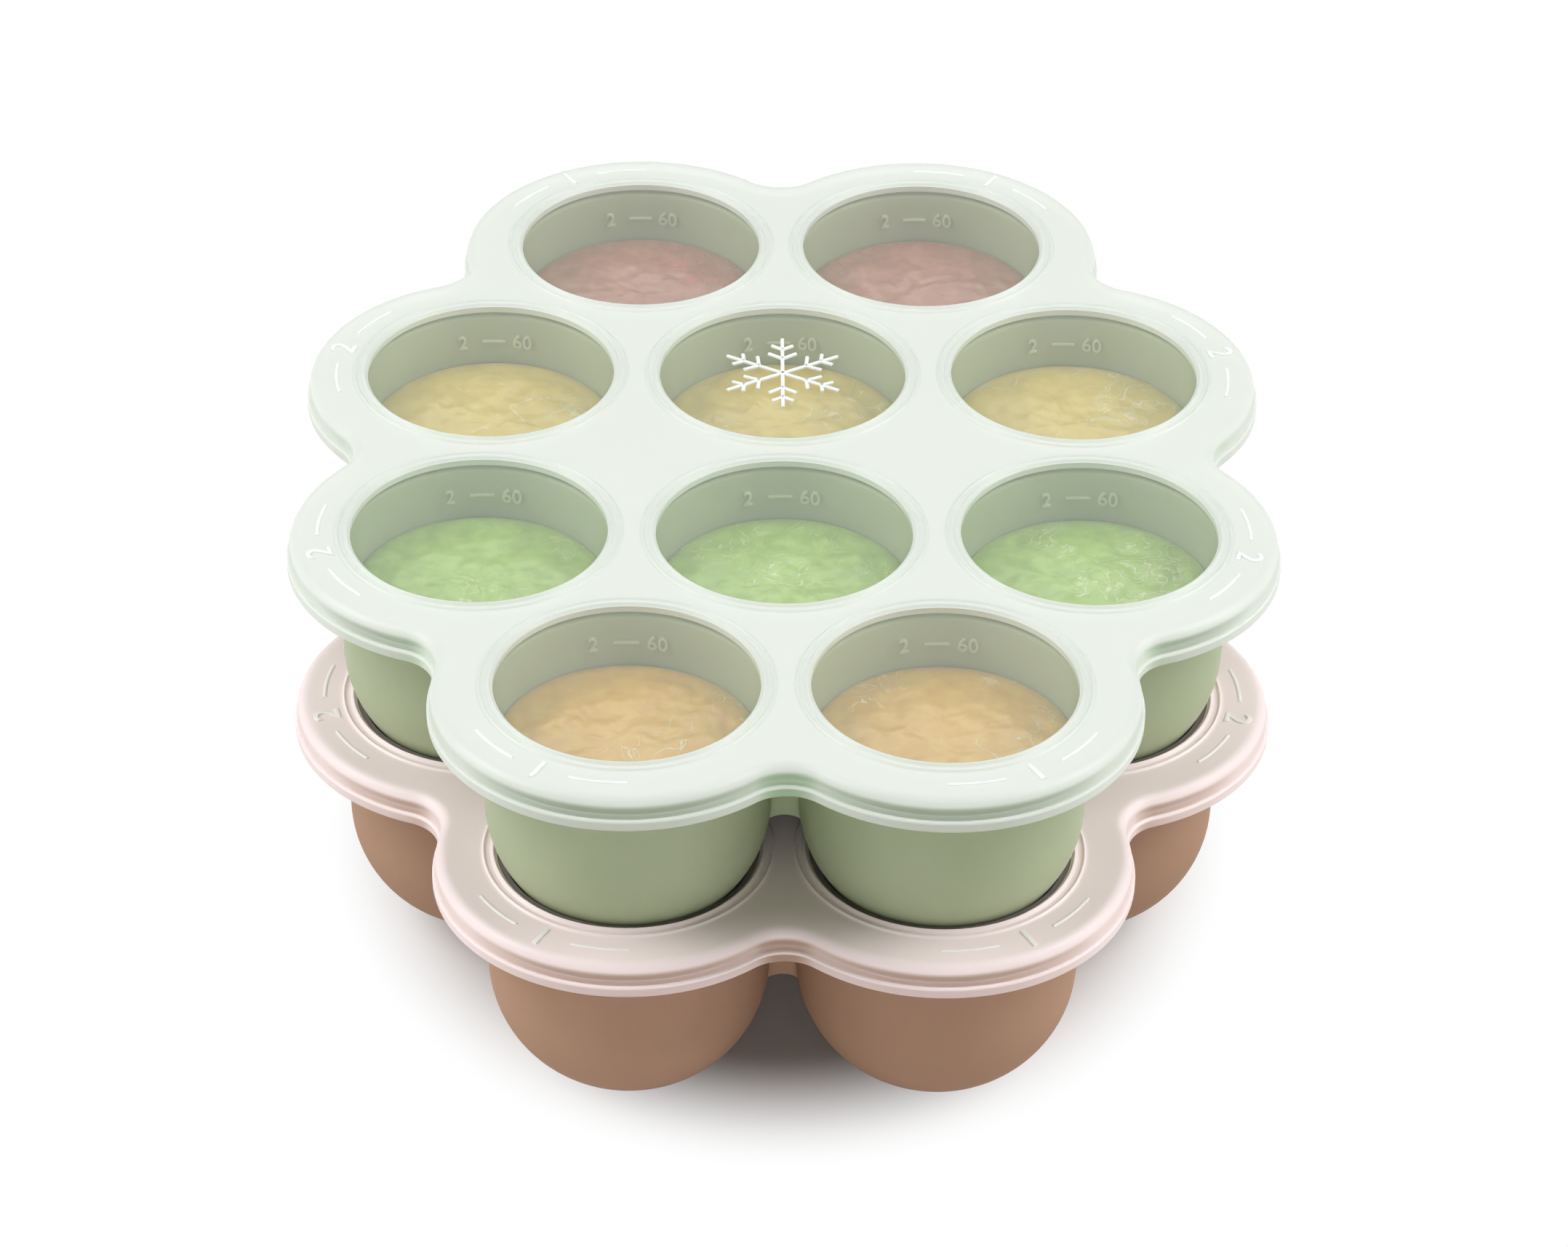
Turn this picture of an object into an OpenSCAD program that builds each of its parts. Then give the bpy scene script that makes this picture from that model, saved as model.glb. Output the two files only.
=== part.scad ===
// Two stacked baby food freezer trays with press-on lids, each cup holding a frozen portion.
// Lengths in millimetres. X runs along the rows of cups, Y from the front row to the back row
// and Z upwards from the feet of the lower tray. Each tray is one soft moulding, drawn here as
// its petal-shaped deck and the ten cups that hang in it, and each lid is one soft moulding that
// caps a deck, drawn as its milky plate and the ten clear windows in it.

/* [Cup layout] */
// Distance between neighbouring cups in a row
cup_pitch = 59; // [58:0.5:64]
// Distance between the two middle rows
middle_pitch = 58; // [57.5:0.5:64]
// Distance from a middle row to the short row outside it
outer_pitch = 50.7; // [50:0.1:56]

/* [Cups] */
// Inside radius of a cup at its mouth
mouth_r = 25.1; // [23:0.1:25.4]
// Thickness of a cup's wall and floor
cup_wall = 2.4; // [1.6:0.1:2.8]
// How much narrower a cup is where its round bottom starts
cup_taper = 0.5; // [0.2:0.1:1.5]
// Radius of the small flat that a cup stands on
foot_r = 2; // [1.5:0.1:4]
// Height of a tray from its feet to the top of its deck
tray_h = 48.3; // [46:0.1:56]
// Rounding of a cup's mouth
mouth_round = 0.8; // [0.4:0.1:1.2]

/* [Tray deck] */
// Thickness of the deck that joins the cups
deck_t = 3.6; // [3:0.1:4.2]
// Rounding of the deck's outer edge
deck_round = 1; // [0.5:0.1:1.3]
// Thickness of the webs between neighbouring cups
web_t = 3; // [2:0.1:4]
// Depth of the webs under the deck, at the top of their arch
web_h = 23.3; // [18:0.1:26]
// Radius of the arch under each web
arch_r = 5; // [4.6:0.1:8]

/* [Lid] */
// Radius of each petal of the lid, from the centre of its cup
petal_r = 37.2; // [35:0.1:40]
// Radius of the valleys between the petals
valley_r = 8.5; // [6:0.1:14]
// Thickness of the lid over the deck
plate_t = 2; // [1.8:0.1:2.6]
// Height of the lid's edge, from its top to its lower lip
edge_h = 6.6; // [6.6:0.1:8]
// Thickness of the skirt round the deck
skirt_t = 1.6; // [1.2:0.1:2.2]
// Rounding of the lid's top edge
shoulder_r = 2.3; // [1.6:0.1:2.6]
// Height of the lower lip
lip_h = 2.3; // [1.6:0.1:2.8]
// How far the lower lip stands out from the skirt
lip_out = 0.6; // [0.3:0.1:1]

/* [Lid windows] */
// Radius of the clear window over each cup
window_r = 24.9; // [22.8:0.1:25]
// Thickness of a window
window_t = 0.9; // [0.6:0.1:1.2]
// How far a window lies under the lid's top
window_recess = 0.3; // [0.2:0.1:0.6]
// Half width of the bead round a window
bead_r = 0.6; // [0.4:0.1:0.8]
// Half width of the thin line outside the bead
line_r = 0.4; // [0.3:0.1:0.5]
// Gap between the bead and the line
line_gap = 0.8; // [0.3:0.1:1]
// How far the cups standing on the lower lid press its windows down
window_dip = 12.7; // [10:0.1:12.8]

/* [Portions] */
// Depth of the food's edge under the top of the upper lid
upper_fill = 12.6; // [9:0.1:20]
// Depth of the food's edge under the top of the lower lid
lower_fill = 18.9; // [18.5:0.1:24]
// How far the food rises to the middle of a cup
food_dome = 0.8; // [0.3:0.1:1.2]

/* [Clearances] */
// Gap where one moulding rests on another
seat_gap = 0.3; // [0.2:0.1:0.4]
// Gap between the skirt and the deck
side_gap = 0.4; // [0.3:0.1:0.8]
// Gap between the food and its cup
food_gap = 0.3; // [0.2:0.1:0.5]

/* [Hidden] */
$fn = 72;
past = 5; // how far a cutter runs past what it cuts
bite = 0.3; // how deep a joined piece reaches into its neighbour
valley_bite = 0.1; // how far the valleys' arcs reach into the petals
neighbour = 1.15 * cup_pitch; // cups nearer than this share a web
bead_margin = 0.1; // from a window's edge to the bead round it
dome_sides = 720; // sides of the large circle that domes the food

base_r = mouth_r + cup_wall - cup_taper - foot_r; // radius of a cup's round bottom
deck_z = tray_h - deck_t; // underside of the deck
lid_z = tray_h + seat_gap + plate_t; // top of a lid above its tray's feet
deck_inset = lip_out + skirt_t + side_gap; // the deck's edge from the lid's outline
ring_r = window_r + bead_margin + bead_r; // middle of the bead round a window
line_mid_r = ring_r + bead_r + line_gap + line_r;
upper_z = lid_z - window_dip + seat_gap; // feet of the upper tray
food_ball_r = (mouth_r * mouth_r + food_dome * food_dome) / (2 * food_dome);

short_y = middle_pitch / 2 + outer_pitch;
long_y = middle_pitch / 2;
short_x = cup_pitch / 2;
CUPS = [
    [-short_x, -short_y], [short_x, -short_y],
    [-cup_pitch, -long_y], [0, -long_y], [cup_pitch, -long_y],
    [-cup_pitch, long_y], [0, long_y], [cup_pitch, long_y],
    [-short_x, short_y], [short_x, short_y]
];
RIM = [0, 1, 4, 7, 9, 8, 5, 2]; // the outer cups, anticlockwise from the front left
COUNT = len(CUPS);

function petal(k) = CUPS[RIM[(k + len(RIM)) % len(RIM)]];
function heading(v) = atan2(v[1], v[0]);

// Centre of the valley between petal k and the next, outside the outline. The valley's arc
// reaches a little into both petals, so the two always cross.
function valley(k) =
    let (a = petal(k), b = petal(k + 1), d = b - a, span = norm(d),
         reach = sqrt(pow(petal_r + valley_r - valley_bite, 2) - pow(span / 2, 2)))
    (a + b) / 2 + reach * [d[1], -d[0]] / span;

STAR = [for (k = [0 : len(RIM) - 1]) each [petal(k), valley(k)]];

module at_petals() {
    for (k = [0 : len(RIM) - 1]) translate(petal(k)) children();
}

module at_valleys() {
    for (k = [0 : len(RIM) - 1]) translate(valley(k)) children();
}

// The petal outline, drawn in by the inset from the lid's own.
module outline(inset) {
    difference() {
        union() {
            polygon(STAR);
            at_petals() circle(petal_r - inset);
        }
        at_valleys() circle(valley_r + inset);
    }
}

// A slab of the petal outline with its top at z = 0 and a rounded top edge.
module rounded_slab(inset, thick, round_r) {
    difference() {
        union() {
            translate([0, 0, -thick]) linear_extrude(thick) polygon(STAR);
            at_petals() rotate_extrude() intersection() {
                translate([0, -thick]) square([petal_r - inset, thick]);
                union() {
                    translate([0, -thick]) square([petal_r - inset - round_r, thick]);
                    translate([0, -thick]) square([petal_r - inset, thick - round_r]);
                    translate([petal_r - inset - round_r, -round_r]) circle(round_r);
                }
            }
        }
        at_valleys() rotate_extrude() {
            translate([0, -thick - past]) square([valley_r + inset, thick + 2 * past]);
            difference() {
                translate([0, -round_r]) square([valley_r + inset + round_r, round_r + past]);
                translate([valley_r + inset + round_r, -round_r]) circle(round_r);
            }
        }
    }
}

module at_cups() {
    for (c = CUPS) translate(c) children();
}

// Half section of a cup's round bottom, grown by the given amount and open above its centre.
module bowl(grow) {
    intersection() {
        union() {
            translate([foot_r, base_r]) circle(base_r + grow);
            translate([0, -grow]) square([foot_r, base_r + grow]);
        }
        translate([0, -grow - past]) square([foot_r + base_r + grow + past, base_r + grow + past]);
    }
}

// Outside radius of a cup's wall at a height above its feet.
function wall_r(z) = foot_r + base_r + cup_taper * (z - base_r) / (tray_h - base_r);

// Half section of a cup up to the given height: outside for shrink 0, inside for cup_wall.
module cup_section(shrink, top) {
    bowl(-shrink);
    polygon([
        [0, base_r - shrink - bite], [foot_r + base_r - shrink, base_r - shrink - bite],
        [foot_r + base_r - shrink, base_r], [wall_r(top) - shrink, top], [0, top]
    ]);
}

// The ten cups, open at the top, their feet at z = 0.
module cups() {
    at_cups() rotate_extrude() difference() {
        cup_section(0, tray_h);
        cup_section(cup_wall, tray_h + past);
        difference() {
            translate([0, tray_h - mouth_round])
                square([mouth_r + mouth_round, mouth_round + past]);
            translate([mouth_r + mouth_round, tray_h - mouth_round]) circle(mouth_round);
        }
    }
}

// The webs that stand between neighbouring cups, each with an arch cut out of its lower end.
module webs() {
    arch_z = deck_z - web_h - arch_r;
    for (i = [0 : COUNT - 2]) for (j = [i + 1 : COUNT - 1]) {
        d = CUPS[j] - CUPS[i];
        if (norm(d) < neighbour)
            translate(CUPS[i]) rotate(heading(d)) difference() {
                translate([mouth_r, -web_t / 2, arch_z])
                    cube([norm(d) - 2 * mouth_r, web_t, deck_z + deck_t / 2 - arch_z]);
                translate([norm(d) / 2, 0, arch_z]) rotate([90, 0, 0])
                    cylinder(h = web_t + 2 * past, r = arch_r, center = true);
            }
    }
}

// The petal-shaped deck with its webs, fitted round the cups, their feet at z = 0.
module deck() {
    difference() {
        union() {
            translate([0, 0, tray_h]) rounded_slab(deck_inset, deck_t, deck_round);
            webs();
        }
        at_cups() rotate_extrude() cup_section(0, tray_h + past);
    }
}

// A lid's plate with its skirt and lower lip, its top at z = 0.
module shell() {
    difference() {
        union() {
            rounded_slab(lip_out, edge_h, shoulder_r);
            translate([0, 0, -edge_h]) linear_extrude(lip_h) outline(0);
        }
        translate([0, 0, -edge_h - past])
            linear_extrude(edge_h + past - plate_t) outline(lip_out + skirt_t);
    }
}

module window_rings() {
    rotate_extrude() {
        translate([ring_r, 0]) circle(bead_r);
        translate([line_mid_r, 0]) circle(line_r);
    }
}

// A lid without its windows, its top at z = 0.
module lid() {
    difference() {
        union() {
            shell();
            at_cups() window_rings();
        }
        at_cups() translate([0, 0, -plate_t - past])
            cylinder(h = plate_t + 2 * past, r = window_r);
    }
}

module flat_window() {
    translate([0, 0, -window_recess - window_t]) cylinder(h = window_t, r = window_r);
}

// A window that the round foot of the cup above it has pressed down.
module pressed_window() {
    foot_z = seat_gap - window_dip;
    rotate_extrude() difference() {
        union() {
            translate([0, -window_recess - window_t]) square([window_r, window_t]);
            intersection() {
                translate([0, foot_z]) bowl(seat_gap + window_t);
                translate([0, -window_dip - window_t - past])
                    square([window_r, window_dip + past - window_recess]);
            }
        }
        translate([0, foot_z]) bowl(seat_gap);
    }
}

// A portion of food whose edge lies at the given height over the tray's feet.
module portion(edge_z) {
    rotate_extrude() intersection() {
        cup_section(cup_wall + food_gap, tray_h);
        translate([0, edge_z + food_dome - food_ball_r]) circle(food_ball_r, $fn = dome_sides);
        square([mouth_r, tray_h]);
    }
}

module lower_deck() {
    color("#9e8068") deck();
}

module lower_cups() {
    color("#947760") cups();
}

module lower_lid() {
    color("#e8dcd8", 0.6) translate([0, 0, lid_z]) lid();
}

module lower_windows() {
    color("#e4d4ce", 0.3) translate([0, 0, lid_z]) at_cups() pressed_window();
}

module upper_deck() {
    color("#a3ad8e") translate([0, 0, upper_z]) deck();
}

module upper_cups() {
    color("#99a484") translate([0, 0, upper_z]) cups();
}

module upper_lid() {
    color("#e6eee6", 0.6) translate([0, 0, upper_z + lid_z]) lid();
}

module upper_windows() {
    color("#dce6da", 0.3) translate([0, 0, upper_z + lid_z]) at_cups() flat_window();
}

// Orange food at the front, then yellow, then orange again in the back row.
module lower_portion(i) {
    food = i <= 2 || i > 8 ? "#d8a860" : "#d2b870";
    color(food) translate(CUPS[i - 1]) portion(lid_z - lower_fill);
}

// The front row holds orange food, the next green, the next yellow and the back row red.
module upper_portion(i) {
    food = i <= 2 ? "#d8a860" : i <= 5 ? "#a4c878" : i <= 8 ? "#d2b870" : "#b0604c";
    color(food) translate(CUPS[i - 1]) translate([0, 0, upper_z]) portion(lid_z - upper_fill);
}

lower_deck();
lower_cups();
lower_lid();
lower_windows();
upper_deck();
upper_cups();
upper_lid();
upper_windows();
for (i = [1 : COUNT]) lower_portion(i);
for (i = [1 : COUNT]) upper_portion(i);
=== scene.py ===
import math

import bmesh
import bpy
from mathutils import Matrix, Vector


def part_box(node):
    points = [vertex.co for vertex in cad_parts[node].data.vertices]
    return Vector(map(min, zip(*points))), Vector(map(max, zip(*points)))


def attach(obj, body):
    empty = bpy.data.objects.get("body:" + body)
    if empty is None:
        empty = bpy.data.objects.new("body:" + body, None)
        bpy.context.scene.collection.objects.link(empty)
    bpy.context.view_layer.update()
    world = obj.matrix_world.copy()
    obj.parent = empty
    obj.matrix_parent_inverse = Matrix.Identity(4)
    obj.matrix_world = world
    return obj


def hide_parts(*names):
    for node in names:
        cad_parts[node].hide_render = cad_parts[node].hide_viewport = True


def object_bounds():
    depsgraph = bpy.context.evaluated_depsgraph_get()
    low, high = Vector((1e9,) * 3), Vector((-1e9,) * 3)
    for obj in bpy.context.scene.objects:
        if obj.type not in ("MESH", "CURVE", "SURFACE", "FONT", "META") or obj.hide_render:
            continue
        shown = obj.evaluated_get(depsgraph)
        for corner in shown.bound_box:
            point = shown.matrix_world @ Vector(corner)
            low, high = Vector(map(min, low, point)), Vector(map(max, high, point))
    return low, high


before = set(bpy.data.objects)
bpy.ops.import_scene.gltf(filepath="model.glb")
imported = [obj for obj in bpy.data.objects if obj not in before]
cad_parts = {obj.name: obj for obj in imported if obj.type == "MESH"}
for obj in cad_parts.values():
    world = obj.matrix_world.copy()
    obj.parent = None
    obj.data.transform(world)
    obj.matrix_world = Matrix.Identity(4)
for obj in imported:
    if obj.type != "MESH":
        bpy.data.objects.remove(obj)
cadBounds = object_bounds()
mm = 0.001
levels = ("lower", "upper")
print("frame loaded")

# Sizes in millimetres, on the moulding's own feet
trayForm = {
    "mouthR": 25.1, "wall": 2.4, "taper": 0.5, "footR": 2.0, "height": 48.3, "mouthRound": 0.8,
    "deckT": 3.6, "deckRound": 1.0, "deckUnderRound": 0.3, "deckInset": 2.6, "underFillet": 0.9,
}
# radius of a cup's round bottom, outside
ballR = trayForm["mouthR"] + trayForm["wall"] - trayForm["taper"] - trayForm["footR"]
webForm = {"thick": 3.0, "depth": 23.3, "archR": 5.0, "bite": 0.8, "reach": 68.0}  # reach: cups with a web
lidForm = {
    "petalR": 37.2, "valleyR": 8.5, "plateT": 2.0, "edgeH": 6.6, "skirtT": 1.6,
    "shoulderR": 2.3, "lipH": 2.3, "lipOut": 0.6, "lipRound": 0.3, "footRound": 0.4, "insideRound": 0.8,
    "ledgeRound": 0.25, "topFlat": 1.2,
    "beadR": 0.6, "beadMid": 25.6, "lineR": 0.4, "lineMid": 27.4, "soft": 1.15,
    "windowR": 24.9, "windowT": 0.9, "windowRecess": 0.3, "windowBite": 0.05, "sill": 0.12, "flare": 1.0,
    "seatGap": 0.3, "foodGap": 0.3,
}
support = 0.5  # width of the flat ring that keeps a flat face's shading flat
petalSteps, valleySteps, cupSteps = 40, 14, 96
valleyFade = 5  # steps past a valley's ends in which its look fades

cups = []  # centres of the ten cups, from the portions that fill them
for i in range(1, 11):
    low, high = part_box(f"upper_portion_{i}")
    cups.append(((low.x + high.x) / 2 / mm, (low.y + high.y) / 2 / mm))
rim = [0, 1, 4, 7, 9, 8, 5, 2]  # the outer cups, anticlockwise from the front left
feetZ = {level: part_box(f"{level}_cups")[0].z / mm for level in levels}
lidTop = trayForm["height"] + lidForm["seatGap"] + lidForm["plateT"]
windowDip = lidTop + lidForm["seatGap"] - feetZ["upper"]


def valleyCentre(k):
    a, b = Vector(cups[rim[k]]), Vector(cups[rim[(k + 1) % 8]])
    along = b - a
    reach = math.sqrt((lidForm["petalR"] + lidForm["valleyR"]) ** 2 - along.length_squared / 4)
    return (a + b) / 2 + Vector((along.y, -along.x)).normalized() * reach


valleys = [valleyCentre(k) for k in range(8)]


def heading(a, b):
    return math.atan2(b[1] - a[1], b[0] - a[0])


def arc(centre, radius, start, end, steps, clockwise=False):
    turn = (start - end if clockwise else end - start) % (2 * math.pi)
    sign = -1 if clockwise else 1
    return [
        (centre[0] + radius * math.cos(start + sign * turn * s / steps),
         centre[1] + radius * math.sin(start + sign * turn * s / steps))
        for s in range(steps)
    ]


# the petal outline, drawn in by inset
def outlineRing(inset):
    points = []
    for k in range(8):
        cup, before, after = cups[rim[k]], valleys[k - 1], valleys[k]
        points += arc(cup, lidForm["petalR"] - inset, heading(cup, before), heading(cup, after), petalSteps)
        points += arc(after, lidForm["valleyR"] + inset, heading(after, cup),
                      heading(after, cups[rim[(k + 1) % 8]]), valleySteps, clockwise=True)
    return points


def circleRing(cup, radius, steps=cupSteps):
    return arc(cup, radius, 0, 2 * math.pi - 1e-9, steps)


# points on a small arc of a section, angles in degrees
def roundCorner(x, y, r, start, end, steps=6):
    return [
        (x + r * math.cos(math.radians(start + (end - start) * s / steps)),
         y + r * math.sin(math.radians(start + (end - start) * s / steps)))
        for s in range(steps + 1)
    ]


def quarterTurns(steps):
    return [math.pi / 2 * s / steps for s in range(steps + 1)]


def addRing(bm, points, z):
    return [bm.verts.new((x * mm, y * mm, z * mm)) for x, y in points]


def bridge(bm, a, b):
    n = len(a)
    for i in range(n):
        bm.faces.new((a[i], a[(i + 1) % n], b[(i + 1) % n], b[i]))


def loft(bm, rings):
    for a, b in zip(rings, rings[1:]):
        bridge(bm, a, b)


def closePole(bm, ring, x, y, z):
    pole = bm.verts.new((x * mm, y * mm, z * mm))
    for i in range(len(ring)):
        bm.faces.new((ring[i], ring[(i + 1) % len(ring)], pole))
    return pole


# a flat face bounded by the first loop, with the others as holes
def fillWithHoles(bm, loops):
    edges = []
    for loop in loops:
        for i in range(len(loop)):
            pair = (loop[i], loop[(i + 1) % len(loop)])
            edges.append(bm.edges.get(pair) or bm.edges.new(pair))
    bmesh.ops.triangle_fill(bm, edges=edges, use_beauty=True)


def smooth(mesh, sharpAngle=38):
    for face in mesh.polygons:
        face.use_smooth = True
    mesh.set_sharp_from_angle(angle=math.radians(sharpAngle))


def finishMesh(bm, name, sharpAngle=38):
    bmesh.ops.remove_doubles(bm, verts=bm.verts, dist=1e-7)
    bmesh.ops.recalc_face_normals(bm, faces=bm.faces)
    mesh = bpy.data.meshes.new(name)
    bm.to_mesh(mesh)
    bm.free()
    smooth(mesh, sharpAngle)
    piece = bpy.data.objects.new(name, mesh)
    bpy.context.collection.objects.link(piece)
    return piece


# the mesh that an object's modifiers or curve settings give
def bakedMesh(piece):
    graph = bpy.context.evaluated_depsgraph_get()
    return bpy.data.meshes.new_from_object(piece.evaluated_get(graph))


def bake(piece):
    mesh = bakedMesh(piece)
    piece.modifiers.clear()
    piece.data = mesh


def lift(piece, z):
    piece.data.transform(Matrix.Translation((0, 0, z * mm)))
    return piece


def srgb(r, g, b):
    shares = [c / 255 for c in (r, g, b)]
    return tuple(((c + 0.055) / 1.055) ** 2.4 if c > 0.04 else c / 12.92 for c in shares) + (1.0,)


# a node socket that takes arithmetic
class Value:
    def __init__(self, graph, socket):
        self.graph, self.socket = graph, socket

    def maths(self, operation, a, b):
        return self.graph.add("ShaderNodeMath", {"operation": operation}, {0: a, 1: b}).out()

    def __add__(self, other):
        return self.maths("ADD", self, other)

    def __radd__(self, other):
        return self.maths("ADD", other, self)

    def __sub__(self, other):
        return self.maths("SUBTRACT", self, other)

    def __rsub__(self, other):
        return self.maths("SUBTRACT", other, self)

    def __mul__(self, other):
        return self.maths("MULTIPLY", self, other)

    def __rmul__(self, other):
        return self.maths("MULTIPLY", other, self)

    def __truediv__(self, other):
        return self.maths("DIVIDE", self, other)

    def __gt__(self, other):
        return self.maths("GREATER_THAN", self, other)

    def size(self):
        return self.maths("ABSOLUTE", self, 0.0)

    def ramp(self, low, high, toLow=0.0, toHigh=1.0):
        ends = {"From Min": low, "From Max": high, "To Min": toLow, "To Max": toHigh}
        return self.graph.add("ShaderNodeMapRange", {"interpolation_type": "SMOOTHSTEP"},
                              {"Value": self, **ends}).out("Result")


class Node:
    def __init__(self, graph, node):
        self.graph, self.node = graph, node

    def out(self, name=0):
        return Value(self.graph, self.node.outputs[name])


# adds nodes of any kind with their settings and the values or links of their sockets
class Graph:
    def __init__(self, tree):
        self.tree = tree

    def add(self, kind, settings=None, values=None):
        node = self.tree.nodes.new(kind)
        for key, value in (settings or {}).items():
            setattr(node, key, value)
        for key, value in (values or {}).items():
            if isinstance(value, Value):
                self.tree.links.new(value.socket, node.inputs[key])
            else:
                node.inputs[key].default_value = value
        return Node(self, node)

    def mix(self, factor, a, b):
        node = self.add("ShaderNodeMix", {"data_type": "RGBA"}, {0: factor, 6: a, 7: b})
        return node.out(2)


def newMaterial(name):
    material = bpy.data.materials.new(name)
    material.use_nodes = True
    material.node_tree.nodes.clear()
    g = Graph(material.node_tree)
    return material, g, g.add("ShaderNodeTexCoord").out("Object")


def noise(graph, place, scale, detail, **more):
    return graph.add("ShaderNodeTexNoise", None,
                     {"Vector": place, "Scale": scale, "Detail": detail, **more}).out()


# 1 for rays that should see the white surroundings and not the light they give
def seenRays(graph):
    path = graph.add("ShaderNodeLightPath")
    return path.out("Is Camera Ray") + path.out("Is Glossy Ray") + path.out("Is Transmission Ray") > 0.5


def finishMaterial(graph, shader):
    graph.add("ShaderNodeOutputMaterial", None, {"Surface": shader})


# matt moulded silicone with a faint mottle and a dusty grain
def traySilicone(name, look):
    material, g, place = newMaterial(name)
    cloud = noise(g, place, look["cloudScale"], 3.0)
    grain = noise(g, place, look["grainScale"], 2.0)
    colour = g.mix(cloud.ramp(0.35, 0.65), look["colour"], look["shade"])
    bump = g.add("ShaderNodeBump", None,
                 {"Strength": look["grainStrength"], "Distance": 0.0002, "Height": grain}).out()
    shader = g.add("ShaderNodeBsdfPrincipled", {"subsurface_method": "RANDOM_WALK"}, {
        "Base Color": colour, "Roughness": grain * 0.12 + look["roughness"], "Normal": bump,
        "Subsurface Weight": look["depth"], "Subsurface Radius": look["scatter"], "Subsurface Scale": 0.002,
        "Specular IOR Level": look["shine"],
    })
    finishMaterial(g, shader.out())
    return material


# milky silicone: the deck shows through the side band; painted shade makes the band and lip clearer and
# more tinted where they face the front or the back, less at the sides
def lidSilicone(name, look, z):
    material, g, place = newMaterial(name)
    valley = g.add("ShaderNodeAttribute", {"attribute_name": "valley"}).out("Fac")
    height = g.add("ShaderNodeSeparateXYZ", None, {0: place}).out("Z") / mm - z
    cloud = noise(g, place, 60.0, 2.0)
    shoulder, ledge = -lidForm["shoulderR"], lidForm["lipH"] - lidForm["edgeH"]
    normal = g.add("ShaderNodeNewGeometry").out("Normal")
    # painted shade: the band and lip are cleared and tinted towards the band colour most where they face
    # the front or the back
    frontBackShade = g.add("ShaderNodeSeparateXYZ", None, {0: normal}).out("Y").size().ramp(0.55, 1.0)
    share = frontBackShade * (1 - look["sideShade"]) + look["sideShade"]
    band = (height.ramp(shoulder, look["bandFrom"], 1.0, 0.0)
            * height.ramp(ledge - 0.02, ledge + 0.12) * share)
    lip = height.ramp(ledge - 0.7, ledge - 0.3, 1.0, 0.0) * share
    rib = height.ramp(ledge - 0.4, ledge - 0.1) * height.ramp(ledge + 0.02, ledge + 0.2, 1.0, 0.0)
    inValley = valley.ramp(0.1, 0.9)
    alpha = (look["alpha"] - band * look["bandClear"] - lip * look["lipClear"]
             + (band - lip) * inValley * look["valleyMilk"]
             + rib * look["ribMilk"] + (cloud - 0.5) * 0.04)
    tint = g.mix(inValley, look["bandColour"], look["valleyColour"])
    colour = g.mix(band * 0.8 + lip * (inValley * 0.65 + 0.25), look["colour"], tint)
    bump = g.add("ShaderNodeBump", None, {"Strength": 0.08, "Distance": 0.0002, "Height": cloud}).out()
    shader = g.add("ShaderNodeBsdfPrincipled", None, {
        "Base Color": colour, "Roughness": cloud * 0.1 + look["roughness"], "Alpha": alpha, "Normal": bump,
        "Specular IOR Level": 0.4,
    })
    finishMaterial(g, shader.out())
    return material


def windowSilicone(name, look):
    material, g, place = newMaterial(name)
    haze = noise(g, place, 90.0, 2.0)
    shader = g.add("ShaderNodeBsdfPrincipled", None, {
        "Base Color": look["colour"], "Roughness": haze * 0.1 + look["roughness"],
        "Alpha": look["alpha"] + (haze - 0.5) * 0.03, "Specular IOR Level": 0.3,
    })
    finishMaterial(g, shader.out())
    return material


# the raised marks on a lid, thick enough to be nearly white
def raisedSilicone(name, look):
    material, g, place = newMaterial(name)
    cloud = noise(g, place, 300.0, 2.0)
    shader = g.add("ShaderNodeBsdfPrincipled", None, {
        "Base Color": look["colour"], "Roughness": cloud * 0.1 + look["roughness"],
        "Alpha": look["alpha"] + (cloud - 0.5) * 0.1,
    })
    finishMaterial(g, shader.out())
    return material


# wet vegetable or fruit puree: lumps, ridges with a painted highlight along them and a glossy skin
def pureeFood(name, look):
    material, g, place = newMaterial(name)
    lumps = noise(g, place, look["lumpScale"], 5.0, Roughness=0.6)
    fibres = noise(g, place, look["fibreScale"], 3.0)
    curl = noise(g, place, look["curlScale"], 3.0, Distortion=1.4)
    patch = noise(g, place, look["patchScale"], 1.0)
    ridgeAndHighlight = (curl - 0.5).size().ramp(0.004, look["ridgeWidth"], 1.0, 0.0) * patch.ramp(0.5, 0.6)
    colour = g.mix(lumps.ramp(0.35, 0.7), look["dark"], look["light"])
    relief = lumps * 0.7 + fibres * 0.2 + ridgeAndHighlight * 0.5
    bump = g.add("ShaderNodeBump", None, {"Strength": 0.4, "Distance": 0.0008, "Height": relief}).out()
    shader = g.add("ShaderNodeBsdfPrincipled", {"subsurface_method": "RANDOM_WALK"}, {
        # painted highlight: the ridges are coloured paler, standing in for the gloss along them; their bump
        # and lower roughness are real
        "Base Color": g.mix(ridgeAndHighlight * look["highlightShare"], colour, look["ridgeAndHighlight"]),
        "Roughness": fibres * 0.2 + look["roughness"] - ridgeAndHighlight * 0.15, "Normal": bump,
        "Subsurface Weight": 0.25, "Subsurface Radius": look["scatter"], "Subsurface Scale": 0.003,
        "Specular IOR Level": 0.6, "Coat Weight": 0.4, "Coat Roughness": 0.1,
    })
    finishMaterial(g, shader.out())
    return material


def cupOuterRadius(z):
    top = trayForm["height"] - trayForm["deckT"] / 2
    return ballR + trayForm["footR"] + trayForm["taper"] * (z - ballR) / (top - ballR)


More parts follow.
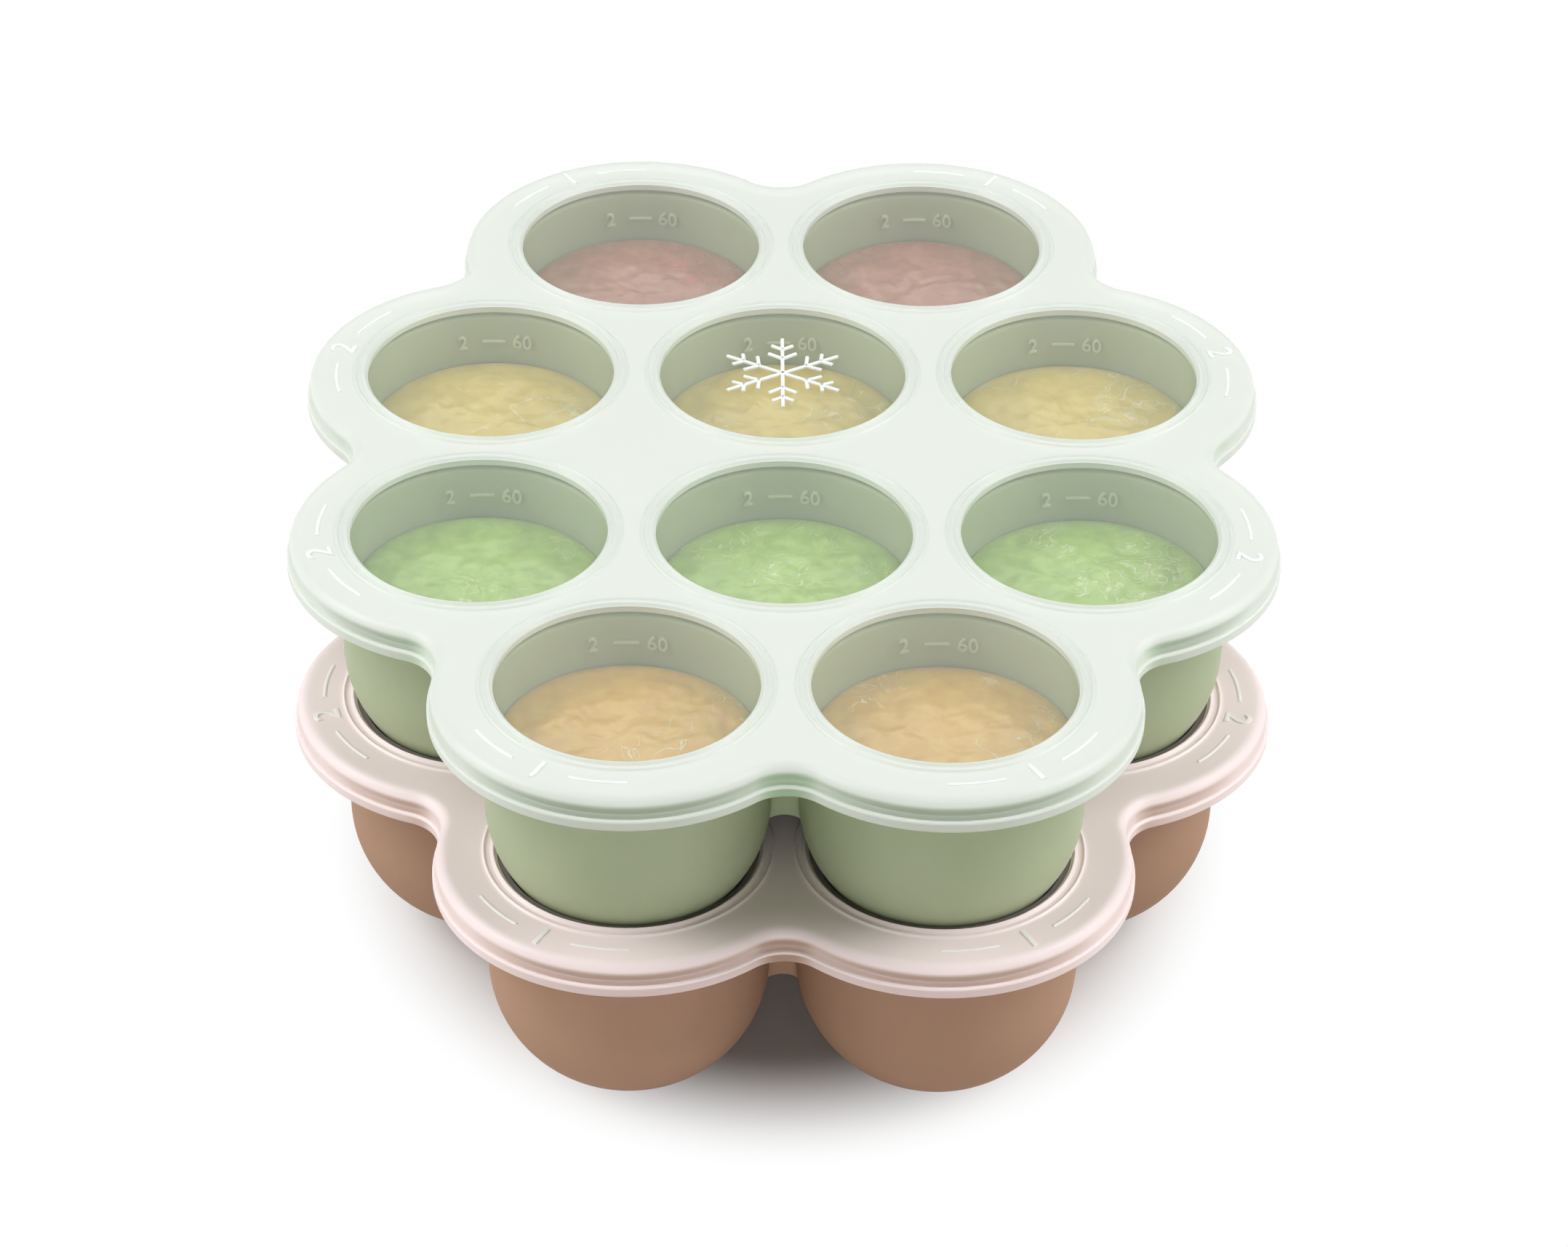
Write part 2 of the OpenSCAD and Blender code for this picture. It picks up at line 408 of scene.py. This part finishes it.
# radius and height from the mouth down to the floor
def cupInnerProfile(shrink=0.0, topZ=None):
    t = trayForm
    topZ = topZ or t["height"] - t["mouthRound"]
    inner = ballR - t["wall"] - shrink
    low = t["footR"] + inner
    points = []
    for s in range(9):
        z = topZ + (ballR - topZ) * s / 8
        points.append((low + (t["mouthR"] - shrink - low) * (z - ballR) / (t["height"] - ballR), z))
    for a in quarterTurns(20)[1:]:
        points.append((t["footR"] + inner * math.cos(a), ballR - inner * math.sin(a)))
    return points


def latheRings(bm, cup, profile):
    return [addRing(bm, circleRing(cup, r), z) for r, z in profile]


def makeTray(name):
    t = trayForm
    top, under = t["height"], t["height"] - t["deckT"]
    flatIn = t["deckInset"] + t["deckRound"]
    section = [(flatIn + support, top)]
    section += [(flatIn - x, top - t["deckRound"] + y)
                for x, y in roundCorner(0, 0, t["deckRound"], 90, 0)]
    low = t["deckUnderRound"]
    section += [(t["deckInset"] + low - x, under + low + y) for x, y in roundCorner(0, 0, low, 0, -90, 3)]
    section.append((t["deckInset"] + low + support, under))
    bm = bmesh.new()
    rings = [addRing(bm, outlineRing(inset), z) for inset, z in section]
    loft(bm, rings)
    mouths, collars = [], []
    mouth, fillet = t["mouthR"] + t["mouthRound"], t["underFillet"]
    wallTop = cupOuterRadius(under - fillet)
    for cup in cups:
        profile = [(mouth + support, top)]
        profile += [(mouth - t["mouthRound"] * math.sin(a), top - t["mouthRound"] * (1 - math.cos(a)))
                    for a in quarterTurns(5)[:-1]]
        profile += cupInnerProfile()
        inside = latheRings(bm, cup, profile)
        loft(bm, inside)
        closePole(bm, inside[-1], cup[0], cup[1], t["wall"])
        mouths.append(inside[0])
        profile = [(wallTop + fillet + support, under)]
        profile += [(wallTop + fillet - fillet * math.sin(a), under - fillet + fillet * math.cos(a))
                    for a in quarterTurns(5)]
        profile += [(cupOuterRadius(z), z) for z in (under - 6, under - 12, ballR + 4, ballR)]
        profile += [(t["footR"] + ballR * math.cos(a), ballR - ballR * math.sin(a))
                    for a in quarterTurns(24)[1:]]
        outside = latheRings(bm, cup, profile)
        loft(bm, outside)
        closePole(bm, outside[-1], cup[0], cup[1], 0)
        collars.append(outside[0])
    fillWithHoles(bm, [rings[0]] + mouths)
    fillWithHoles(bm, [rings[-1]] + collars)
    return finishMesh(bm, name)


# the arched webs between neighbouring cups, as one loose mesh for the union
def makeWebs(name):
    w, t = webForm, trayForm
    bm = bmesh.new()
    under = t["height"] - t["deckT"]
    archZ = under - w["depth"] - w["archR"]
    for i, a in enumerate(cups):
        for b in cups[i + 1:]:
            a3, b3 = Vector((*a, 0)), Vector((*b, 0))
            span = (b3 - a3).length
            if span > w["reach"]:
                continue
            along = (b3 - a3).normalized()
            across = Vector((-along.y, along.x, 0))
            middle = (a3 + b3) / 2
            half = span / 2 - t["mouthR"] - w["bite"]
            edge = [(u, archZ + math.sqrt(w["archR"] ** 2 - u * u))
                    for u in (half * (s / 6 - 1) for s in range(13))]
            edge += [(half, under + w["bite"]), (-half, under + w["bite"])]
            sides = []
            for side in (-1, 1):
                sides.append([bm.verts.new((middle + along * u + across * side * w["thick"] / 2
                                            + Vector((0, 0, z))) * mm) for u, z in edge])
            bridge(bm, sides[0], sides[1])
            bm.faces.new(sides[0])
            bm.faces.new(list(reversed(sides[1])))
    return finishMesh(bm, name)


def union(piece, other):
    step = piece.modifiers.new("union", "BOOLEAN")
    step.operation, step.solver, step.object = "UNION", "MANIFOLD", other
    bake(piece)
    bpy.data.objects.remove(other)
    smooth(piece.data)
    return piece


# 1 in the middle of a valley, falling to 0 a little way into the petals beside it
def valleyShare(i):
    period = petalSteps + valleySteps
    off = abs((i % period) - petalSteps - valleySteps / 2)
    off = min(off, period - off)
    return max(0.0, 1 - off / (valleySteps / 2 + valleyFade))


def makeLid(name):
    f = lidForm
    flatIn = f["lipOut"] + f["shoulderR"]
    wallIn = f["lipOut"] + f["skirtT"]
    step = -f["edgeH"] + f["lipH"]
    section = [(flatIn + f["topFlat"], 0)]
    section += [(flatIn - x, -f["shoulderR"] + y) for x, y in roundCorner(0, 0, f["shoulderR"], 90, 0, 9)]
    corner = f["ledgeRound"]
    section += [(f["lipOut"], step + corner), (f["lipOut"] - corner * 0.32, step + corner * 0.24),
                (f["lipOut"] - corner, step)]
    lip, foot, inside = f["lipRound"], f["footRound"], f["insideRound"]
    section += [(lip - x, step - lip + y) for x, y in roundCorner(0, 0, lip, 90, 0, 4)]
    section += [(foot - x, -f["edgeH"] + foot + y) for x, y in roundCorner(0, 0, foot, 0, -90, 4)]
    section += [(wallIn - corner, -f["edgeH"]), (wallIn, -f["edgeH"] + corner)]
    section += [(wallIn + inside - x, -f["plateT"] - inside + y)
                for x, y in roundCorner(0, 0, inside, 0, 90, 4)]
    section.append((wallIn + inside + support, -f["plateT"]))
    bm = bmesh.new()
    weight = bm.verts.layers.float.new("valley")
    rings = [addRing(bm, outlineRing(inset), z) for inset, z in section]
    for ring in rings:
        for i, v in enumerate(ring):
            v[weight] = valleyShare(i)
    loft(bm, rings)
    topHoles, underHoles = [], []
    for cup in cups:
        profile = [(f["lineMid"] + f["lineR"] * f["soft"] + support, 0)]
        for mid, r, steps in ((f["lineMid"], f["lineR"], 8), (f["beadMid"], f["beadR"], 12)):
            profile += [(mid + r * f["soft"] * u, r / 2 * (1 + math.cos(math.pi * u)))
                        for u in (1 - 2 * s / steps for s in range(steps + 1))]
        seat = -f["windowRecess"] - f["windowT"]
        flareR = f["windowR"] + f["flare"]
        profile += [(f["windowR"], -f["sill"]), (f["windowR"], seat), (flareR, -f["plateT"]),
                    (flareR + support, -f["plateT"])]
        ringSet = latheRings(bm, cup, profile)
        loft(bm, ringSet)
        topHoles.append(ringSet[0])
        underHoles.append(ringSet[-1])
    fillWithHoles(bm, [rings[0]] + topHoles)
    fillWithHoles(bm, [rings[-1]] + underHoles)
    return finishMesh(bm, name)


# closed half section of a window, from the middle of its top round to the middle below
def windowProfile(pressed):
    f, t = lidForm, trayForm
    top, under = -f["windowRecess"], -f["windowRecess"] - f["windowT"]
    outer = f["windowR"] + f["windowBite"]
    if not pressed:
        across = [0.0, 8.0, 16.0, outer]
        return [(r, top) for r in across] + [(r, under) for r in reversed(across)]
    footZ = f["seatGap"] - windowDip
    halves = []
    for grow, level in ((f["seatGap"], top), (f["seatGap"] + f["windowT"], under)):
        radius = ballR + grow
        end = math.acos((ballR - (level - footZ)) / radius)
        turns = [end * s / 28 for s in range(29)]
        halves.append([(t["footR"] + radius * math.sin(a), footZ + ballR - radius * math.cos(a))
                       for a in turns])
    upper, lower = halves
    return ([(0.0, upper[0][1])] + upper + [(outer, top), (outer, under)]
            + lower[::-1] + [(0.0, lower[0][1])])


def makeWindows(name, pressed):
    bm = bmesh.new()
    profile = windowProfile(pressed)
    for cup in cups:
        rings = latheRings(bm, cup, profile[1:-1])
        loft(bm, rings)
        closePole(bm, rings[0], *cup, profile[0][1])
        closePole(bm, rings[-1], *cup, profile[-1][1])
    return finishMesh(bm, name)


def newTree(name, sockets):
    tree = bpy.data.node_groups.new(name, "GeometryNodeTree")
    tree.interface.new_socket("Geometry", in_out="OUTPUT", socket_type="NodeSocketGeometry")
    for label, kind in sockets.items():
        tree.interface.new_socket(label, in_out="INPUT", socket_type="NodeSocket" + kind)
    graph = Graph(tree)
    return tree, graph, graph.add("NodeGroupInput")


def finishTree(graph, geometry, material):
    real = graph.add("GeometryNodeRealizeInstances", None, {"Geometry": geometry}).out()
    coated = graph.add("GeometryNodeSetMaterial", None, {"Geometry": real, "Material": material}).out()
    graph.add("NodeGroupOutput", None, {0: coated})


def applyTree(piece, tree, values):
    step = piece.modifiers.new("nodes", "NODES")
    step.node_group = tree
    for item in tree.interface.items_tree:
        if item.item_type == "SOCKET" and item.in_out == "INPUT" and item.name in values:
            step[item.identifier] = values[item.name]
    bake(piece)


foodForm = {
    "rings": 34, "steps": 120, "shoulder": 1.2, "sag": 1.1, "sagFrom": 0.86, "calmFrom": 0.84,
    "rimGap": 0.15, "drop": 0.4,
    "lumpHeight": 2.6 * mm, "lumpScale": 95.0, "fineHeight": 0.9 * mm, "fineScale": 4.0,
}


# raises the top of a portion in soft lumps, fading to nothing at the cup's wall
def pureeTree():
    tree, g, given = newTree("puree lumps", {
        "Geometry": "Geometry", "Lump Height": "Float", "Lump Scale": "Float", "Fine Height": "Float",
        "Seed": "Float", "Material": "Material"})
    place = g.add("GeometryNodeInputPosition").out()
    top = g.add("GeometryNodeInputNamedAttribute", {"data_type": "FLOAT"}, {"Name": "top"}).out("Attribute")
    broad = g.add("ShaderNodeTexNoise", {"noise_dimensions": "4D"},
                  {"Vector": place, "W": given.out("Seed"), "Scale": given.out("Lump Scale"), "Detail": 2.0,
                   "Distortion": 0.6}).out()
    fine = g.add("ShaderNodeTexNoise", {"noise_dimensions": "4D"},
                 {"Vector": place, "W": given.out("Seed") + 7.0,
                  "Scale": given.out("Lump Scale") * foodForm["fineScale"],
                  "Detail": 4.0}).out()
    rise = ((broad - 0.5) * given.out("Lump Height") + (fine - 0.5) * given.out("Fine Height")) * top
    shift = g.add("ShaderNodeCombineXYZ", None, {"Z": rise}).out()
    moved = g.add("GeometryNodeSetPosition", None,
                  {"Geometry": given.out("Geometry"), "Offset": shift}).out()
    finishTree(g, moved, given.out("Material"))
    return tree


# copies a piece on to every point of the carrier mesh
def arrayTree():
    tree, g, given = newTree("one for each cup", {
        "Geometry": "Geometry", "Piece": "Object", "Material": "Material"})
    piece = g.add("GeometryNodeObjectInfo", None, {"Object": given.out("Piece")}).out("Geometry")
    copies = g.add("GeometryNodeInstanceOnPoints", None,
                   {"Points": given.out("Geometry"), "Instance": piece}).out()
    finishTree(g, copies, given.out("Material"))
    return tree


# fills a cup to topZ over its tray's feet, with a fine grid on top for the lumps
def makePortion(name, cup, feet, topZ, seed, tree, material):
    f = foodForm
    inner = cupInnerProfile(lidForm["foodGap"], topZ - f["shoulder"])
    rimR = inner[0][0]
    bm = bmesh.new()
    weight = bm.verts.layers.float.new("top")
    topRings = []
    for s in range(f["rings"], 0, -1):
        share = s / f["rings"]
        r = (rimR - f["rimGap"]) * share
        z = topZ - f["sag"] * max(0.0, (share - f["sagFrom"]) / (1 - f["sagFrom"])) ** 2
        ring = addRing(bm, circleRing(cup, r, f["steps"]), z)
        for v in ring:
            v[weight] = min(1.0, (1 - share) / (1 - f["calmFrom"]))
        topRings.append(ring)
    loft(bm, topRings)
    closePole(bm, topRings[-1], *cup, topZ)[weight] = 1.0
    side = [addRing(bm, circleRing(cup, r, f["steps"]), z) for r, z in inner]
    loft(bm, side)
    bridge(bm, topRings[0], side[0])
    closePole(bm, side[-1], *cup, trayForm["wall"] + lidForm["foodGap"])
    piece = finishMesh(bm, name, 60)
    applyTree(piece, tree, {"Lump Height": f["lumpHeight"], "Lump Scale": f["lumpScale"],
                            "Fine Height": f["fineHeight"], "Seed": float(seed), "Material": material})
    return lift(piece, feet)


# a number as a flat raised mesh, centred on its own width, in millimetres
def textMesh(body, size, thick):
    curve = bpy.data.curves.new("number", "FONT")
    curve.body, curve.size = body, size
    curve.align_x, curve.align_y = "CENTER", "CENTER"
    curve.extrude, curve.bevel_depth, curve.bevel_resolution = thick / 2, 0.06, 1
    curve.resolution_u = 4
    holder = bpy.data.objects.new("number", curve)
    bpy.context.collection.objects.link(holder)
    mesh = bakedMesh(holder)
    bpy.data.objects.remove(holder)
    bm = bmesh.new()
    bm.from_mesh(mesh)
    bmesh.ops.remove_doubles(bm, verts=bm.verts, dist=1e-4)
    return bm


# a raised bar with a rounded back, long enough to be bent round an arc
def barMesh(length, width, thick, steps=16):
    bm = bmesh.new()
    half = [(-width / 2, -thick / 2), (-width / 2, thick * 0.2), (-width / 4, thick / 2),
            (width / 4, thick / 2), (width / 2, thick * 0.2), (width / 2, -thick / 2)]
    rings = []
    for s in range(steps + 1):
        x = -length / 2 + length * s / steps
        rings.append([bm.verts.new((x, y, z)) for y, z in half])
    loft(bm, rings)
    bm.faces.new(rings[0])
    bm.faces.new(list(reversed(rings[-1])))
    return bm


# adds a copy of one mesh to another, with every point moved by place(x, y, z) in millimetres
def joinInto(target, source, place):
    source.verts.index_update()
    made = {}
    for v in source.verts:
        made[v.index] = target.verts.new(Vector(place(*v.co)) * mm)
    for face in source.faces:
        target.faces.new([made[v.index] for v in face.verts])
    source.free()


markForm = {
    "depth": 8.2, "size": 4.3, "thick": 0.7, "sink": 0.2, "dash": 4.9, "dashW": 0.55, "shift": -0.6,
    "numbers": (("2", -6.6), ("60", 6.072)),
}


# the fill line with plain numbers, on the back wall of a cup that stands on the origin
def makeFillMark(name):
    m, t = markForm, trayForm
    level = lidTop - m["depth"]

    def onWall(shift):
        def place(x, y, z):
            height = level + y
            wallR = t["mouthR"] - t["taper"] * (t["height"] - height) / (t["height"] - ballR)
            r = wallR - z + m["sink"] - m["thick"] / 2
            angle = (x + shift) / t["mouthR"]
            return r * math.sin(angle), r * math.cos(angle), height
        return place

    bm = bmesh.new()
    for body, shift in m["numbers"]:
        joinInto(bm, textMesh(body, m["size"], m["thick"]), onWall(shift + m["shift"]))
    joinInto(bm, barMesh(m["dash"], m["dashW"], m["thick"]), onWall(m["shift"]))
    return finishMesh(bm, name, 50)


orderForm = {
    "radius": 31.2, "size": 7.2, "thick": 0.4, "sink": 0.2, "bar": 11.0, "barW": 0.7, "barTurn": 21.0,
}


# on each petal the number of its turn when the lid is closed, between two bars
def makeOrderMarks(name):
    m = orderForm
    bm = bmesh.new()
    for k in range(8):
        cup = cups[rim[k]]
        before, after = heading(cup, valleys[k - 1]), heading(cup, valleys[k])
        middle = before + ((after - before) % (2 * math.pi)) / 2

        def onPlate(shift):
            def place(x, y, z):
                angle = middle - math.radians(shift) - x / m["radius"]
                r = m["radius"] + y
                rise = z + m["thick"] / 2 - m["sink"]
                return cup[0] + r * math.cos(angle), cup[1] + r * math.sin(angle), rise
            return place

        number = "1" if k in (0, 1, 4, 5) else "2"
        joinInto(bm, textMesh(number, m["size"], m["thick"]), onPlate(0))
        for side in (-1, 1):
            joinInto(bm, barMesh(m["bar"], m["barW"], m["thick"]), onPlate(side * m["barTurn"]))
    return finishMesh(bm, name, 50)


flakeForm = {
    "arm": 13.0, "width": 0.75, "thick": 0.5, "sink": 0.1, "lean": 55, "twigs": ((5.5, 3.4), (9.0, 2.6)),
}


# a plain six-armed snowflake raised on the window of the second row's middle cup
def makeSnowflake(name, cup):
    m = flakeForm
    bm = bmesh.new()
    level = -lidForm["windowRecess"]

    def line(start, turn, length):
        def place(x, y, z):
            u = x + length / 2
            px = start[0] + u * math.cos(turn) - y * math.sin(turn)
            py = start[1] + u * math.sin(turn) + y * math.cos(turn)
            return cup[0] + px, cup[1] + py, level + z + m["thick"] / 2 - m["sink"]
        joinInto(bm, barMesh(length, m["width"], m["thick"], 4), place)

    for arm in range(6):
        turn = math.radians(30 + 60 * arm)
        line((0, 0), turn, m["arm"])
        for out, length in m["twigs"]:
            root = (out * math.cos(turn), out * math.sin(turn))
            for side in (-1, 1):
                line(root, turn + side * math.radians(m["lean"]), length)
    return finishMesh(bm, name, 50)


trayGrain = {"cloudScale": 25.0, "grainScale": 1800.0, "grainStrength": 0.12, "depth": 0.15}
trayLook = {
    "sage": {**trayGrain, "colour": srgb(172, 183, 150), "shade": srgb(166, 178, 144), "roughness": 0.5,
             "shine": 0.35, "scatter": (1.0, 1.0, 0.7)},
    "terracotta": {**trayGrain, "colour": srgb(180, 147, 124), "shade": srgb(174, 141, 118),
                   "roughness": 0.6, "shine": 0.04, "scatter": (1.0, 0.7, 0.5)},
}
markHighlightLook = {  # raised marks are a little paler than the wall they stand on: a painted highlight where they catch the light
    "upper": {**trayLook["sage"], "colour": srgb(204, 212, 184), "shade": srgb(198, 207, 178)},
    "lower": {**trayLook["terracotta"], "colour": srgb(206, 176, 154), "shade": srgb(200, 170, 148)},
}
# the band over the ledge and the lip under it are clearer than the plate, the rib between them milkier
lidMilk = {
    "bandFrom": -1.2, "bandClear": 0.52, "lipClear": 0.25, "ribMilk": 0.08, "valleyMilk": 0.13,
    # sideShade: the share of the painted front and back shade kept where the band faces the sides
    "sideShade": 0.25, "roughness": 0.34,
}
lidLook = {
    "upper": {**lidMilk, "alpha": 0.88, "colour": srgb(233, 239, 231), "bandColour": srgb(214, 230, 206),
              "valleyColour": srgb(194, 230, 186)},
    "lower": {**lidMilk, "alpha": 0.92, "colour": srgb(252, 237, 236), "bandColour": srgb(238, 208, 188),
              "valleyColour": srgb(206, 170, 142)},
}
windowLook = {
    "upper": {"colour": srgb(228, 236, 224), "roughness": 0.3, "alpha": 0.14},
    "lower": {"colour": srgb(238, 226, 222), "roughness": 0.3, "alpha": 0.2},
}
raisedLook = {
    "upper": {"colour": srgb(250, 253, 250), "roughness": 0.3, "alpha": 0.9},
    "lower": {"colour": srgb(254, 250, 248), "roughness": 0.3, "alpha": 0.9},
}
foodGrain = {"lumpScale": 220.0, "fibreScale": 700.0, "patchScale": 48.0}
# the ridge colours are painted highlights along the puree's ridges
foodLook = {
    "red": {**foodGrain, "dark": srgb(172, 102, 82), "light": srgb(196, 127, 108),
            "ridgeAndHighlight": srgb(226, 112, 104), "highlightShare": 0.8, "ridgeWidth": 0.034, "curlScale": 150.0,
            "roughness": 0.3, "scatter": (1.0, 0.3, 0.2)},
    "yellow": {**foodGrain, "dark": srgb(222, 194, 84), "light": srgb(230, 206, 100),
               "ridgeAndHighlight": srgb(246, 238, 196), "highlightShare": 0.7, "ridgeWidth": 0.026, "curlScale": 110.0,
               "roughness": 0.28, "scatter": (1.0, 0.7, 0.3)},
    "green": {**foodGrain, "dark": srgb(158, 196, 76), "light": srgb(180, 216, 100),
              "ridgeAndHighlight": srgb(232, 244, 188), "highlightShare": 0.8, "ridgeWidth": 0.03, "curlScale": 170.0,
              "roughness": 0.26, "scatter": (0.6, 1.0, 0.3)},
    "orange": {**foodGrain, "dark": srgb(224, 171, 54), "light": srgb(232, 187, 70),
               "ridgeAndHighlight": srgb(250, 236, 196), "highlightShare": 0.9, "ridgeWidth": 0.024, "curlScale": 110.0,
               "roughness": 0.26, "scatter": (1.0, 0.6, 0.25)},
}

lidTopZ = {level: feetZ[level] + lidTop for level in levels}
trayMaterial = {"upper": traySilicone("sage silicone", trayLook["sage"]),
                "lower": traySilicone("terracotta silicone", trayLook["terracotta"])}
markMaterial = {level: traySilicone(f"{level} fill mark silicone", markHighlightLook[level]) for level in levels}
lidMaterial = {level: lidSilicone(f"{level} milky silicone", lidLook[level], lidTopZ[level])
               for level in levels}
windowMaterial = {level: windowSilicone(f"{level} clear silicone", windowLook[level]) for level in levels}
raisedMaterial = {level: raisedSilicone(f"{level} raised silicone", raisedLook[level]) for level in levels}
foodMaterial = {name: pureeFood(name + " puree", look) for name, look in foodLook.items()}
rowFood = {"upper": ["orange"] * 2 + ["green"] * 3 + ["yellow"] * 3 + ["red"] * 2,
           "lower": ["orange"] * 2 + ["yellow"] * 6 + ["orange"] * 2}
print("materials made")


def dress(piece, body, material=None, replaced=()):
    if material:
        piece.data.materials.clear()
        piece.data.materials.append(material)
    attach(piece, body)
    if replaced:
        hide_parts(*replaced)


lumps, eachCup = pureeTree(), arrayTree()
for level in levels:
    feet = feetZ[level]
    trayPiece = union(makeTray(f"{level}_tray_body"), makeWebs("webs"))
    dress(lift(trayPiece, feet), f"{level}_tray", trayMaterial[level],
          (f"{level}_deck", f"{level}_cups"))
    lidPiece = lift(makeLid(f"{level}_lid_body"), lidTopZ[level])
    dress(lidPiece, f"{level}_lid", lidMaterial[level], (f"{level}_lid",))
    windows = lift(makeWindows(f"{level}_lid_windows", level == "lower"), lidTopZ[level])
    dress(windows, f"{level}_lid", windowMaterial[level], (f"{level}_windows",))
    marks = lift(makeOrderMarks(f"{level}_lid_numbers"), lidTopZ[level])
    dress(marks, f"{level}_lid", raisedMaterial[level])
    oneMark = makeFillMark("one fill mark")
    points = bpy.data.meshes.new("cup centres")
    points.from_pydata([(x * mm, y * mm, feet * mm) for x, y in cups], [], [])
    fillMarks = bpy.data.objects.new(f"{level}_fill_marks", points)
    bpy.context.collection.objects.link(fillMarks)
    applyTree(fillMarks, eachCup, {"Piece": oneMark, "Material": markMaterial[level]})
    bpy.data.objects.remove(oneMark)
    dress(fillMarks, f"{level}_tray")
    for i, cup in enumerate(cups):
        node = f"{level}_portion_{i + 1}"
        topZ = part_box(node)[1].z / mm - feet - foodForm["drop"]
        food = rowFood[level][i]
        seed = i * 3 + (0 if level == "upper" else 50)
        portion = makePortion(f"{node}_puree", cup, feet, topZ, seed, lumps, foodMaterial[food])
        dress(portion, f"{level}_tray", None, (node,))
    print(level, "tray, lid and portions made")
flake = lift(makeSnowflake("upper_lid_snowflake", cups[6]), lidTopZ["upper"])
dress(flake, "upper_lid", raisedMaterial["upper"])


floorLook = {"reach": 6, "white": 1.0, "near": 0.67, "far": 0.98, "colour": srgb(220, 214, 210)}


# a pale floor that turns plain white away from the object and keeps its real shadow near it; the ramp
# between is painted light that fades the shadow out
def makeFloor(name, look):
    bm = bmesh.new()
    bmesh.ops.create_grid(bm, x_segments=1, y_segments=1, size=look["reach"])
    floor = lift(finishMesh(bm, name), -0.2)
    material, g, place = newMaterial(name)
    foot = (1 / cadBounds[1][0], 1 / cadBounds[1][1], 0.0)  # 1 at the edge of the object's own box
    away = g.add("ShaderNodeVectorMath", {"operation": "MULTIPLY"}, {0: place, 1: foot}).out("Vector")
    away = g.add("ShaderNodeVectorMath", {"operation": "LENGTH"}, {0: away}).out("Value")
    # painted light: seen from the camera, the floor glows white by its distance from the object's box,
    # covering the outer part of its shadow
    white = away.ramp(look["near"], look["far"]) * look["white"] * seenRays(g)
    black = (0.0, 0.0, 0.0, 1.0)
    shader = g.add("ShaderNodeBsdfPrincipled", None, {
        "Base Color": g.mix(white, look["colour"], black), "Roughness": 0.9, "Specular IOR Level": 0.0,
        "Emission Color": g.mix(white, black, (1.0, 1.0, 1.0, 1.0)), "Emission Strength": 1.0})
    finishMaterial(g, shader.out())
    floor.data.materials.append(material)


makeFloor("pale_floor", floorLook)

skyLook = {"ambient": 0.06, "white": 1.0}
world = bpy.data.worlds.new("studio")
world.use_nodes = True
world.node_tree.nodes.clear()
sky = Graph(world.node_tree)
strength = seenRays(sky) * (skyLook["white"] - skyLook["ambient"]) + skyLook["ambient"]
backdrop = sky.add("ShaderNodeBackground", None, {"Color": (1, 1, 1, 1), "Strength": strength}).out()
sky.add("ShaderNodeOutputWorld", None, {"Surface": backdrop})
bpy.context.scene.world = world

lampSet = [
    {"name": "front softbox", "at": (0.0, -1.4, 0.38), "size": 0.9, "power": 5.6},
    {"name": "back softbox", "at": (0.0, 1.1, 1.2), "size": 0.9, "power": 3.2},
]
for side, name in ((-1, "left"), (1, "right")):
    lampSet += [
        {"name": f"{name} low softbox", "at": (side * 1.1, -0.05, 0.42), "size": 0.8, "power": 3.8},
        {"name": f"{name} high softbox", "at": (side * 1.0, -0.05, 1.05), "size": 0.8, "power": 11.3},
    ]
for lamp in lampSet:
    data = bpy.data.lights.new(lamp["name"], "AREA")
    data.shape, data.size, data.energy = "SQUARE", lamp["size"], lamp["power"]
    holder = bpy.data.objects.new(lamp["name"], data)
    holder.location = lamp["at"]
    holder.rotation_euler = (Vector((0, 0, 0.05)) - Vector(lamp["at"])).to_track_quat("-Z", "Y").to_euler()
    bpy.context.collection.objects.link(holder)

# fitted to the ten mouths: angles in degrees, places in cup pitches, focal length in the frame's pixels
shot = {"pitch": 0.058, "focal": 7097.0, "elevation": 34.705, "azimuth": 0.768, "roll": 0.710,
        "right": 0.0090, "up": -0.5917, "distance": 17.607, "frame": (2156, 1714)}
el, az, ro = (math.radians(shot[key]) for key in ("elevation", "azimuth", "roll"))
ahead = Vector((math.sin(az) * math.cos(el), math.cos(az) * math.cos(el), -math.sin(el)))
right = Vector((math.cos(az), -math.sin(az), 0))
up = right.cross(ahead)
rolledRight = math.cos(ro) * right + math.sin(ro) * up
rolledUp = -math.sin(ro) * right + math.cos(ro) * up
spot = Vector((0, 0, lidTopZ["upper"] * mm))
spot += shot["pitch"] * (shot["right"] * right + shot["up"] * up - shot["distance"] * ahead)
lens = bpy.data.cameras.new("camera")
lens.sensor_width = 36
lens.lens = shot["focal"] * 36 / shot["frame"][0]
camera = bpy.data.objects.new("camera", lens)
camera.matrix_world = Matrix((
    (rolledRight.x, rolledUp.x, -ahead.x, spot.x), (rolledRight.y, rolledUp.y, -ahead.y, spot.y),
    (rolledRight.z, rolledUp.z, -ahead.z, spot.z), (0, 0, 0, 1)))
bpy.context.collection.objects.link(camera)
bpy.context.scene.camera = camera
bpy.context.scene.view_settings.view_transform = "Standard"
print("floor, lamps and camera made")
